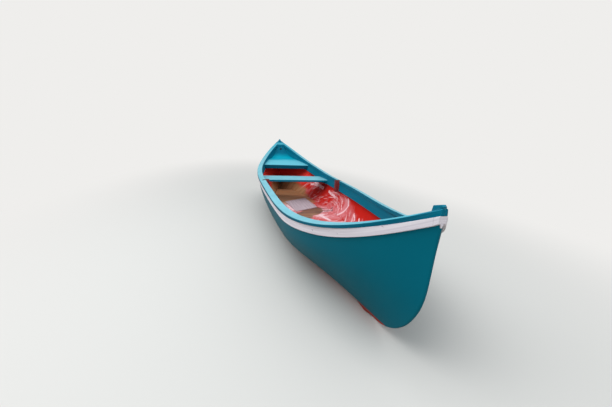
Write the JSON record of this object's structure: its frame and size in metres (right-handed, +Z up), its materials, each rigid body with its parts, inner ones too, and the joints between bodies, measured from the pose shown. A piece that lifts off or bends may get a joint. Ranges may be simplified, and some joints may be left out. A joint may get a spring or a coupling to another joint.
{
  "type": "rowing boat",
  "caption": "Open double-ended rowing boat with a moulded hull, capped gunwales, rub strakes, end decks and a thwart.",
  "frame": {"origin": "on the ground, below the middle of the boat", "axes": "+X to the bow (the end with the painter pipe), +Y to port, +Z up"},
  "size_m": [4.98, 1.135, 0.9806],
  "materials": {
    "hull_moulding": "glass-fibre moulding, teal outside and red inside and below",
    "deck_moulding": "glass-fibre moulding, painted teal",
    "trim_paint": "brushed teal paint over wood",
    "strake_paint": "brushed off-white paint over wood",
    "sole_paint": "worn red paint over plywood",
    "bearer_wood": "red paint over wood",
    "bare_board": "weathered grey plywood",
    "chock_wood": "maroon paint over wood",
    "bottom_strips": "worn red paint over wood",
    "fittings": "dull galvanised steel"
  },
  "bodies": {
    "root": {"hull_shell": "hull_moulding", "keel_strip": "bottom_strips", "runner_port": "bottom_strips", "runner_starboard": "bottom_strips", "gunwale_port": "trim_paint", "gunwale_starboard": "trim_paint", "clamp_port": "trim_paint", "clamp_starboard": "trim_paint", "rub_strake_port": "strake_paint", "rub_strake_starboard": "strake_paint", "strake_cap_bow": "strake_paint", "strake_cap_stern": "strake_paint", "breasthook_bow": "trim_paint", "breasthook_stern": "trim_paint", "stem_head_bow": "trim_paint", "stem_head_stern": "trim_paint", "thwart": "trim_paint", "thwart_cleat_port": "trim_paint", "thwart_cleat_starboard": "trim_paint", "rowlock_chock_port": "chock_wood", "rowlock_chock_starboard": "chock_wood", "rowlock_socket_port": "fittings", "rowlock_socket_starboard": "fittings", "end_deck_bow": "deck_moulding", "end_deck_stern": "deck_moulding", "painter_pipe": "fittings", "sole_aft": "sole_paint", "sole_middle": "sole_paint", "sole_fore": "sole_paint", "loose_board": "bare_board", "floor_bearer_1": "bearer_wood", "floor_bearer_2": "bearer_wood", "floor_bearer_3": "bearer_wood", "floor_bearer_4": "bearer_wood", "floor_bearer_5": "bearer_wood", "floor_bearer_6": "bearer_wood", "floor_bearer_7": "bearer_wood"}
  },
  "joints": []
}
